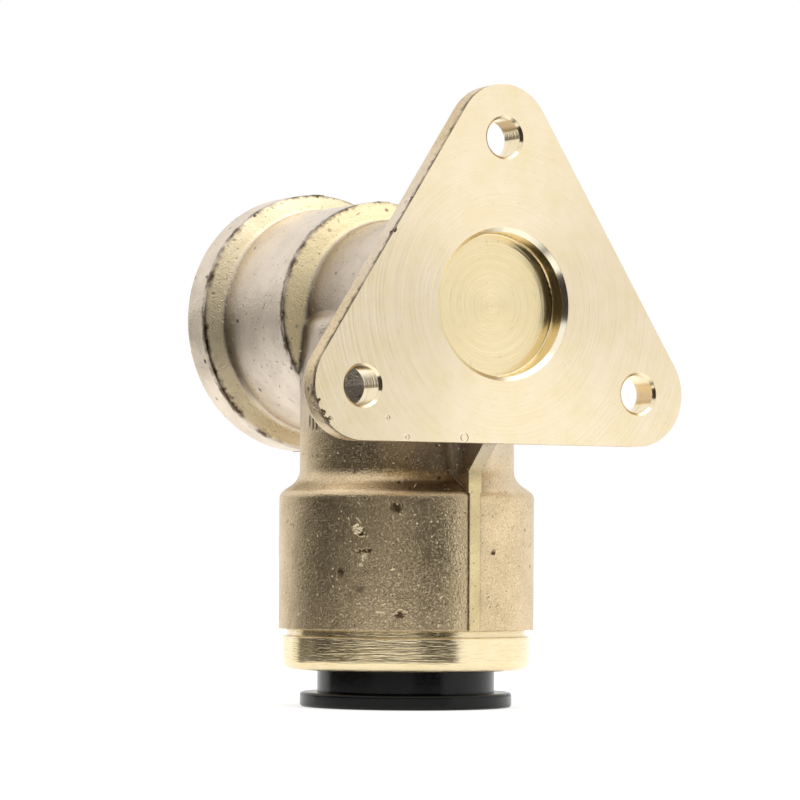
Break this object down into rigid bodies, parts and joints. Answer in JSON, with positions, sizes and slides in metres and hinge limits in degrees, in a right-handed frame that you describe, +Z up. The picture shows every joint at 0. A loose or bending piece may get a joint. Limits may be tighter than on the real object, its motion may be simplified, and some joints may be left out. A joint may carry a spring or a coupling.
{
  "type": "female wall-plate elbow",
  "caption": "Brass elbow with a triangular wall plate: a female pipe thread facing out and a push-fit tube socket with a release collar facing down.",
  "frame": {"origin": "on the plate's mounting face, at the axis of the threaded boss", "axes": "-Y out of the mounting face towards the wall, +Y along the threaded boss, -Z out of the tube socket, +Z up"},
  "size_m": [0.0434, 0.042, 0.0632],
  "materials": {
    "forged_brass": "blasted hot forging, machined faces",
    "turned_brass": "fine turned",
    "black_plastic": "satin moulded",
    "spring_steel": "pressed stainless",
    "white_plastic": "moulded",
    "rubber": "moulded"
  },
  "bodies": {
    "elbow": {"elbow_body": "forged_brass", "retaining_cap": "turned_brass", "grab_ring": "spring_steel", "ring_spacer": "white_plastic", "o_ring": "rubber"},
    "collar": {"release_collar": "black_plastic"}
  },
  "joints": [
    {"name": "collar_push", "type": "slide", "parent": "elbow", "child": "collar", "axis": [0, 0, 1], "range_m": [0, 0.002], "deforming": ["grab_ring"]}
  ]
}
